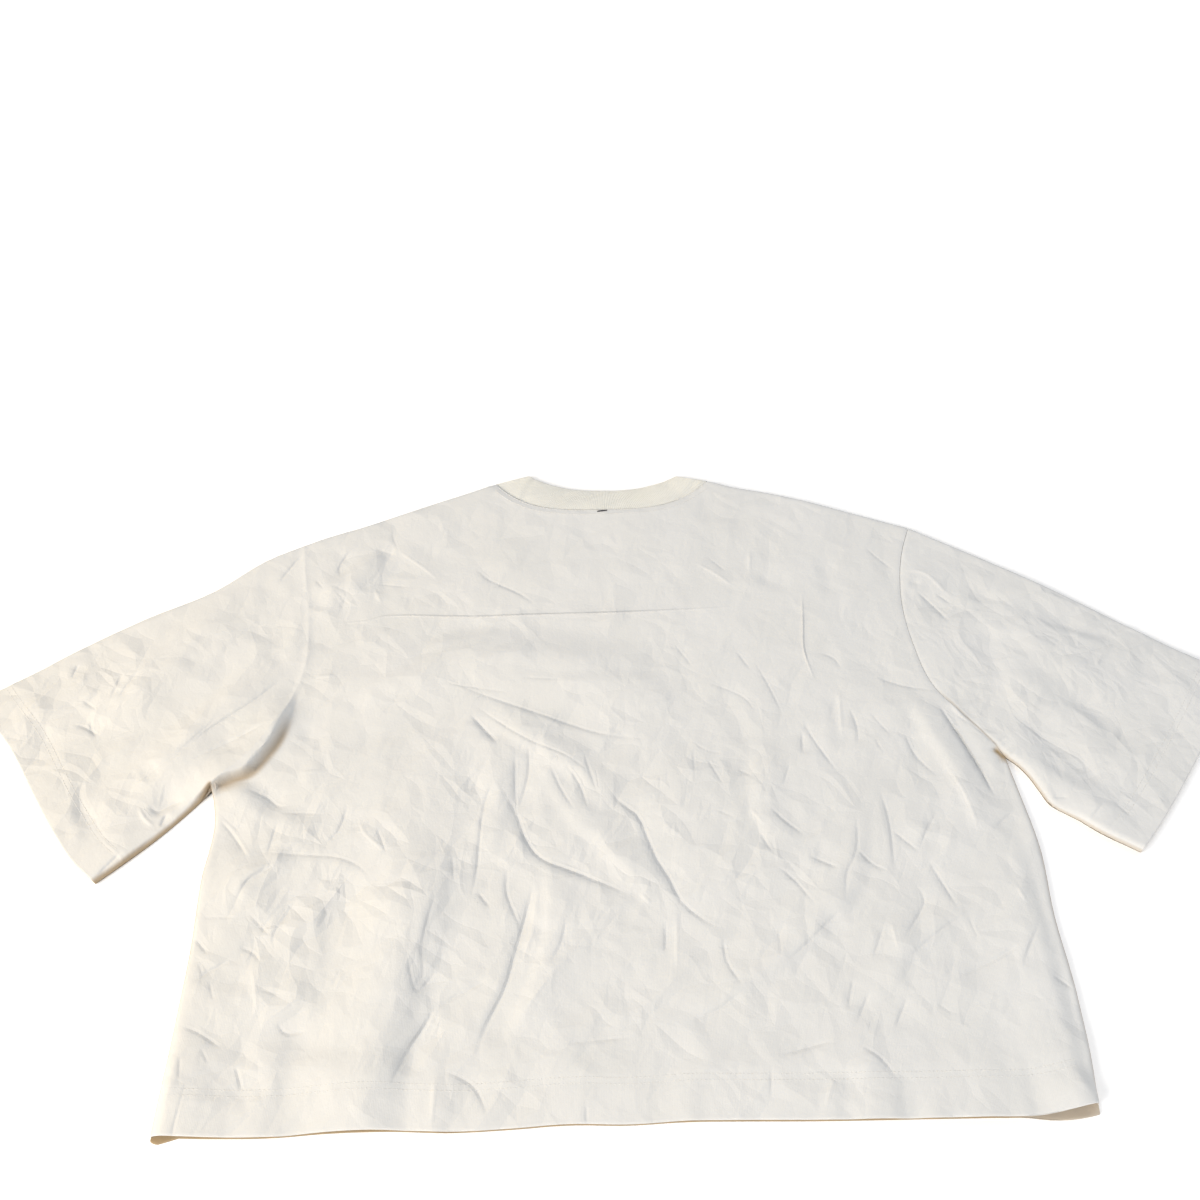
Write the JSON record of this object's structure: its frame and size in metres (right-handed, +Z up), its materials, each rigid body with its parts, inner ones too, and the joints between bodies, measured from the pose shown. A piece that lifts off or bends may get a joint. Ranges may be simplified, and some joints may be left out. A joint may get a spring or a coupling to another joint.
{
  "type": "boxy t-shirt laid out flat",
  "caption": "Boxy short-sleeved jersey t-shirt with a ribbed collar and wide half sleeves, laid flat with its back up and creased from wear.",
  "frame": {"origin": "middle of the shirt's bounding box, on the surface that it lies on", "axes": "+X along the hem towards the wearer's right sleeve, which is the picture's right; +Y from the hem to the collar; +Z up"},
  "size_m": [1.024, 0.5606, 0.0176],
  "materials": {
    "jersey": "matte single jersey",
    "rib": "matte 1x1 rib"
  },
  "bodies": {
    "root": {"back_panel": "jersey", "front_panel": "jersey", "sleeve_left": "jersey", "sleeve_right": "jersey", "neck_rib": "rib"}
  },
  "joints": []
}
